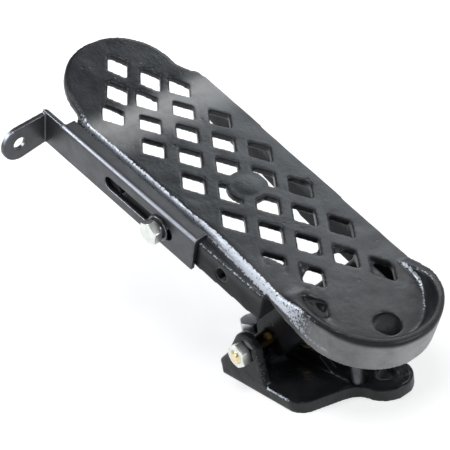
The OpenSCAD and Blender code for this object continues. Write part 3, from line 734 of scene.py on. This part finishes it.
baseShape = {
    # mm; a pair is a soft step's range
    "voxel": 0.8, "rounds": 7, "lump": 0.18, "lumpSize": 12.0, "lumpsFrom": (0.5, 3),
    "front": -86.5, "middle": -7.5, "half": 43.5, "plate": 7.2, "cornerRound": 3.8, "cornerUp": (26, 10),
    "earIn": 36, "earFoot": 3.4, "earStop": 0.3, "earUp": (20, 8.5), "earBack": (-70, -78),
    "footBack": (-73, -78), "footOut": (33, 37), "footLow": (3, 6), "footHigh": (31, 26), "footSoftening": 12,
}
baseWear = {
    # a painted highlight on the plate's near upper edge
    "edgeOut": (-49.3, -50.2), "edgeLow": (6.0, 6.6), "edgeHigh": (8.5, 8), "edgeStart": (-46, -42),
    "edgeEnd": (-22, -26), "edgeAmount": 0.95,
    # a painted highlight on the heel-side edge of the near ear, which leans towards the toe as it rises
    "rearX": -43.6, "rearLean": 0.19, "rearFrom": 8, "rearBand": (1.3, 0.6), "rearOut": (-48.5, -49.5),
    "rearLow": (8, 10), "rearHigh": (37, 33), "rearAmount": 0.35,
    # painted sheen: paler grey sides of the plate
    "sideSteep": (0.5, 0.2), "sideUp": (8.5, 7), "sideStart": (-75, -50), "sideAmount": 0.5,
}


def makeBase():
    bm = cadCopy("base_bracket", Matrix.Identity(4))
    mesh = remeshed("baseCasting", bm, baseShape["voxel"], baseShape["rounds"])
    shape, wear = baseShape, baseWear

    def cornered(co):
        # the plate's front corners are cast round
        x, y, z = co / mm
        out = y - shape["middle"]
        r, low = shape["cornerRound"], ramp(z, *shape["cornerUp"])
        inX, inY = r - (x - shape["front"]), r - (shape["half"] - abs(out))
        if low > 0 and inX > 0 and inY > 0 and hypot(inX, inY) > r:
            pull = low * (1 - r / hypot(inX, inY))
            x, y = x + inX * pull, y - copysign(inY * pull, out)
        # the ears run out to the plate's corner in one line
        if z > shape["plate"] and abs(y - shape["middle"]) > shape["earIn"]:
            x -= shape["earFoot"] * within(shape, earUp=z, earBack=x)
            x = max(shape["front"] + shape["earStop"], x)
        return Vector((x, y, z)) * mm

    def earFoot(co):
        x, y, z = co / mm
        return within(shape, footBack=x, footOut=abs(y - shape["middle"]), footLow=z, footHigh=z)

    movePoints(mesh, [cornered(v.co) for v in mesh.vertices])
    softenWhere(mesh, earFoot, shape["footSoftening"])
    addLumps(mesh, shape, lambda co: ramp(co.z / mm, *shape["lumpsFrom"]))    # the underside stays flat

    # painted highlights on the plate's edge and on the ear's edge
    def wearAndHighlight(co, normal):
        x, y, z = co / mm
        edge = within(wear, edgeOut=y, edgeLow=z, edgeHigh=z, edgeStart=x, edgeEnd=x)
        fromRear = abs(x - wear["rearX"] + wear["rearLean"] * (z - wear["rearFrom"]))
        rear = within(wear, rearBand=fromRear, rearOut=y, rearLow=z, rearHigh=z)
        return max(wear["edgeAmount"] * edge, wear["rearAmount"] * rear)

    # painted sheen: paler grey on the plate's sides
    def paintedSheen(co, normal):
        x, y, z = co / mm
        return wear["sideAmount"] * within(wear, sideSteep=abs(normal.z), sideUp=z, sideStart=x)

    paintMask(mesh, "wearAndHighlight", wearAndHighlight)
    paintMask(mesh, "paintedSheen", paintedSheen)
    finishPiece("baseCasting", mesh, baseMaterial, "base", ["base_bracket"], allSmooth)


stripShape = {"voxel": 0.45, "rounds": 2, "foldFacing": (0.3, 0.6)}


def makeStrip():
    bm = cadCopy("lift_bracket", barPlace)
    mesh = remeshed("liftStrip", bm, stripShape["voxel"], stripShape["rounds"])
    # a painted highlight along the fold
    paintMask(mesh, "paintedHighlight", lambda co, normal: ramp(min(-normal.y, normal.z), *stripShape["foldFacing"]))
    mesh.transform(barPlace)
    finishPiece("liftStrip", mesh, stripMaterial, "bracket", ["lift_bracket"], allSmooth)


barBores = {"places": (53.5, 137.5), "down": -15.5, "outer": 4.6, "crest": 3.55, "depth": 0.5, "pitch": 1.25,
            "low": -12.6, "high": -0.35, "segments": 48}


def makeBoreThreads():
    # thread ridges in the side bar's open bores
    values = barBores
    parts = []
    for along in values["places"]:
        # a negative depth, so that the ridges point inwards
        inner = threadProfile(values["crest"], -values["depth"], values["pitch"],
                              values["low"], values["high"])
        bm = lathe(inner + [(values["outer"], values["high"]), (values["outer"], values["low"])],
                   values["segments"])
        bmesh.ops.transform(bm, matrix=shift(along, 0, values["down"]) @ outward, verts=bm.verts)
        parts.append(bm)
    mesh = toMesh("boreThreads", parts, barPlace)
    finishPiece("boreThreads", mesh, baseMaterial, "pedal", [])


def boltParts(top, low, plainLow):
    # a hexagon head from top up, a plain shank, then ridges down to the tip
    head = hexPrism(top, top + hexSizes["head"], 0.0, hexSizes["chamfer"])
    bevelSharp(head, hexSizes["headSoft"])
    r, tip = hexSizes["shank"], hexSizes["tip"]
    ridges = threadProfile(r, hexSizes["ridge"], hexSizes["pitch"], low + tip, plainLow)
    plainR, end = r - hexSizes["under"], top + hexSizes["inHead"]
    plain = [(plainR, plainLow + hexSizes["runOut"]), (plainR, end), (0, end)]
    return [head, lathe([(0, low), (r - tip, low)] + ridges + plain)]


def nutPart(low, high):
    chamfer = hexSizes["chamfer"]
    nut = hexPrism(low, high, chamfer, chamfer, hexSizes["nutBore"], hexSizes["nutSink"])
    bevelSharp(nut, hexSizes["nutSoft"])
    return nut


def washerBody(outer, inner, low, high, soft=0.25):
    softer = soft * 1.4    # the upper outer edge
    return lathe([(inner, low + soft), (inner + soft, low), (outer - soft, low), (outer, low + soft),
                  (outer, high - softer), (outer - softer, high), (inner + soft, high), (inner, high - soft)])


springShape = {"gap": 9, "slant": 14, "steps": 60, "sharpFrom": 50, "soft": 0.2}    # angles in degrees


def springWasher(outer, inner, low, high):
    # a square section wound almost once round, its ends cut on a slant
    bm = bmesh.new()
    corners = [bm.verts.new((r * mm, 0, h * mm)) for r, h in
               ((inner, low), (outer, low), (outer, high), (inner, high))]
    face = bm.faces.new(corners)
    bmesh.ops.spin(bm, geom=[face] + face.edges[:] + corners, cent=(0, 0, 0), axis=(0, 0, 1),
                   angle=radians(360 - springShape["gap"]), steps=springShape["steps"])
    for v in bm.verts:
        share = (v.co.z / mm - low) / (high - low) - 0.5
        v.co = Matrix.Rotation(radians(springShape["slant"]) * share, 3, "Z") @ v.co
    bmesh.ops.recalc_face_normals(bm, faces=bm.faces)
    sharpFrom = radians(springShape["sharpFrom"])
    sharp = [e for e in bm.edges if e.is_manifold and e.calc_face_angle(0) > sharpFrom]
    bmesh.ops.bevel(bm, geom=sharp, offset=springShape["soft"] * mm, offset_type="OFFSET", segments=2,
                    profile=0.5, affect="EDGES", material=-1)
    return bm


def bevelSharp(bm, width, angle=20):
    edges = [e for e in bm.edges if e.is_manifold and e.calc_face_angle(0) > radians(angle)]
    bmesh.ops.bevel(bm, geom=edges, offset=width * mm, offset_type="OFFSET", segments=2, profile=0.5,
                    affect="EDGES", clamp_overlap=True, material=-1)


def finishSteel(name, parts, matrix, material, body, node):
    finishPiece(name, toMesh(name, parts, matrix), material, body, [node])


# places along each bolt's own axis, in mm
bracketBolt = {"along": 89.5, "down": -15.5, "top": 6.8, "tip": -13.2, "plainTo": 2.6,
               "spring": (6.8, 4.15, 4.82, 6.78), "flat": (8, 4.2, 3.22, 4.8)}


def makeBracketBolt():
    values = bracketBolt
    matrix = barPlace @ shift(values["along"], 0, values["down"]) @ outward
    finishSteel("bracketBolt", boltParts(values["top"], values["tip"], values["plainTo"]), matrix,
                zincMaterial, "pedal", "bracket_bolt")
    finishSteel("bracketSpringWasher", [springWasher(*values["spring"])], matrix,
                washerMaterial, "pedal", "bracket_spring_washer")
    finishSteel("bracketFlatWasher", [washerBody(*values["flat"])], matrix,
                washerMaterial, "pedal", "bracket_flat_washer")


pivotSet = {"top": 37.6, "tip": -58.5, "plainTo": -35.0,
            "nut": (-57.5, -51.02), "washer": (8, 4.2, 36.02, 37.58),
            "spacerOuter": 5.5, "spacerInner": 4.1, "spacerSoft": 0.35, "spacerLength": 14.8,
            "spacers": (("nearSpacer", "near_spacer", -45.9), ("farSpacer", "far_spacer", 16.1)),
            "rings": 10, "glintAt": (-55.2, 11.0, 29.5), "glintReach": (2.8, 1.2)}


def makePivot():
    values = pivotSet
    toFar = hinge @ inward    # +Z runs to the far side
    finishSteel("pivotBolt", boltParts(values["top"], values["tip"], values["plainTo"]), toFar,
                yellowMaterial, "base", "pivot_bolt")
    finishSteel("pivotNut", [nutPart(*values["nut"])], toFar,
                zincMaterial, "base", "pivot_nut")
    finishSteel("pivotWasher", [washerBody(*values["washer"])], toFar,
                yellowMaterial, "base", "pivot_washer")
    glintX, glintAlong, glintZ = values["glintAt"]
    for name, node, low in values["spacers"]:
        high = low + values["spacerLength"]
        body = washerBody(values["spacerOuter"], values["spacerInner"], low, high, values["spacerSoft"])
        for step in range(1, values["rings"]):    # rings of points, so that the painted glint has room
            level = (low + (high - low) * step / values["rings"]) * mm
            bmesh.ops.bisect_plane(body, geom=body.verts[:] + body.edges[:] + body.faces[:],
                                   plane_co=(0, 0, level), plane_no=(0, 0, 1))
        tube = toMesh(name, [body], toFar)
        # the painted glint's middle, on top of each spacer
        worn = Vector((glintX, low + glintAlong, glintZ))
        paintMask(tube, "paintedHighlight", lambda co, normal: ramp((co / mm - worn).length, *values["glintReach"]))
        finishPiece(name, tube, shadedYellowMaterial, "base", [node])


stopSet = {"place": (-79.5, -27.5, 0), "top": 22.8, "tip": 2.8, "plainTo": 21.0, "nut": (16.02, 22.5),
           "pinPlace": (-7, -14, 0), "pinR": 3.88, "pinLow": 2.6, "pinHigh": 37.5}


def makeStop():
    values = stopSet
    upright = shift(*values["place"])
    finishSteel("stopBolt", boltParts(values["top"], values["tip"], values["plainTo"]), upright,
                brightMaterial, "base", "stop_bolt")
    finishSteel("stopNut", [nutPart(*values["nut"])], upright, brightMaterial, "base",
                "stop_lock_nut")
    r, low, high = values["pinR"], values["pinLow"], values["pinHigh"]
    pin = lathe([(0, low), (r - 0.28, low), (r, low + 0.4), (r, high - 1.2), (r - 0.18, high - 0.6),
                 (r - 0.68, high - 0.2), (r - 1.48, high - 0.05), (0, high)])    # its top is domed
    finishSteel("heelPin", [pin], shift(*values["pinPlace"]), pinMaterial, "base",
                "heel_stop_pin")


makeDeck()
makeBase()
makeStrip()
makeBoreThreads()
makeBracketBolt()
makePivot()
makeStop()
print("pieces built")


studio = {"floorSize": 6.0, "floorColour": (0.5, 0.505, 0.51), "mottle": 0.985, "mottleSize": 6.0,
          "paintedShadowGlow": 0.68, "glowReach": (0.25, 0.8), "wallRadius": 2.6, "wallHeight": 0.9,
          "airColour": (0.97, 0.98, 1.0, 1), "airLevel": 0.14}


def makePaper(name):
    material, tree, shader, where = newMaterial(name, {"Roughness": 0.9, "Specular IOR Level": 0.1,
                                                       "Emission Color": (1, 1, 1, 1)})
    mottle = noiseAt(tree, where, studio["mottleSize"], 2.0)
    low = tuple(c * studio["mottle"] for c in studio["floorColour"])
    join(tree, blendColours(tree, mottle, low, studio["floorColour"]), shader.inputs["Base Color"])
    # painted shadow: the glow is a little less round the object, where its shadow falls, and full white
    # further out
    away = add(tree, "ShaderNodeVectorMath", operation="LENGTH")
    join(tree, where, away.inputs[0])
    glow = remap(tree, away.outputs["Value"], *studio["glowReach"], studio["paintedShadowGlow"], 1.0)
    rays = add(tree, "ShaderNodeLightPath")
    seen = maths(tree, "MAXIMUM", rays.outputs["Is Camera Ray"], rays.outputs["Is Glossy Ray"])
    seen = maths(tree, "MAXIMUM", seen, rays.outputs["Is Transmission Ray"])
    join(tree, maths(tree, "MULTIPLY", seen, glow), shader.inputs["Emission Strength"])
    return material


def stagePiece(name, bm, material):
    mesh = bpy.data.meshes.new(name)
    bm.to_mesh(mesh)
    bm.free()
    mesh.materials.append(material)
    piece = bpy.data.objects.new(name, mesh)
    bpy.context.scene.collection.objects.link(piece)
    return piece


def makeStudio():
    bm = bmesh.new()
    bmesh.ops.create_grid(bm, x_segments=1, y_segments=1, size=studio["floorSize"] / 2)
    ground = stagePiece("floor", bm, makePaper("paperFloor"))
    bm = bmesh.new()
    circle = bmesh.ops.create_circle(bm, cap_ends=False, segments=96, radius=studio["wallRadius"])["verts"]
    made = bmesh.ops.extrude_edge_only(bm, edges=list({e for v in circle for e in v.link_edges}))["geom"]
    bmesh.ops.translate(bm, verts=[g for g in made if isinstance(g, bmesh.types.BMVert)],
                        vec=(0, 0, studio["wallHeight"]))
    bmesh.ops.reverse_faces(bm, faces=bm.faces)
    wall = stagePiece("backdrop", bm, makePaper("paperWall"))


lamps = [
    # name, azimuth, elevation, distance, width, height, radiance, colour
    ("rearSoftbox", 110, 47, 1.0, 0.52, 0.32, 4.6, (0.95, 0.98, 1.0)),
    ("frontKey", -40, 72, 1.2, 0.5, 0.45, 8.0, (1.0, 1.0, 1.0)),
    ("leftSoftbox", -125, 40, 1.1, 0.5, 0.4, 6.3, (0.95, 0.98, 1.0)),
    ("heelSoftbox", 18, 12, 1.1, 0.6, 0.4, 7.5, (1.0, 1.0, 1.0)),
]
lampsAim = (-0.09, -0.02, 0.08)


def makeLamps():
    aim = Vector(lampsAim)
    for name, azimuth, elevation, distance, width, height, radiance, colour in lamps:
        light = bpy.data.lights.new(name, "AREA")
        light.shape = "RECTANGLE"
        light.size = width
        light.size_y = height
        light.energy = radiance * pi * width * height
        light.color = colour
        lamp = bpy.data.objects.new(name, light)
        way = Vector((cos(radians(elevation)) * cos(radians(azimuth)),
                      cos(radians(elevation)) * sin(radians(azimuth)), sin(radians(elevation))))
        lamp.location = aim + way * distance
        lamp.rotation_euler = (-way).to_track_quat("-Z", "Y").to_euler()
        lamp.visible_camera = False
        bpy.context.scene.collection.objects.link(lamp)


def makeWorld():
    world = bpy.data.worlds.new("studioAir")
    world.use_nodes = True
    background = world.node_tree.nodes["Background"]
    background.inputs["Color"].default_value = studio["airColour"]
    background.inputs["Strength"].default_value = studio["airLevel"]
    bpy.context.scene.world = world


cameraView = {"lens": 88, "sensor": 36, "place": (0.37894, -0.34663, 0.36555),
              "turn": (63.5108, 9.2823, 51.0963)}    # degrees


def makeCamera():
    data = bpy.data.cameras.new("camera")
    data.lens = cameraView["lens"]
    data.sensor_width = cameraView["sensor"]
    camera = bpy.data.objects.new("camera", data)
    camera.location = cameraView["place"]
    camera.rotation_euler = [radians(angle) for angle in cameraView["turn"]]
    bpy.context.scene.collection.objects.link(camera)
    bpy.context.scene.camera = camera


makeStudio()
makeLamps()
makeWorld()
makeCamera()
bpy.context.scene.view_settings.view_transform = "Standard"
print("studio ready")
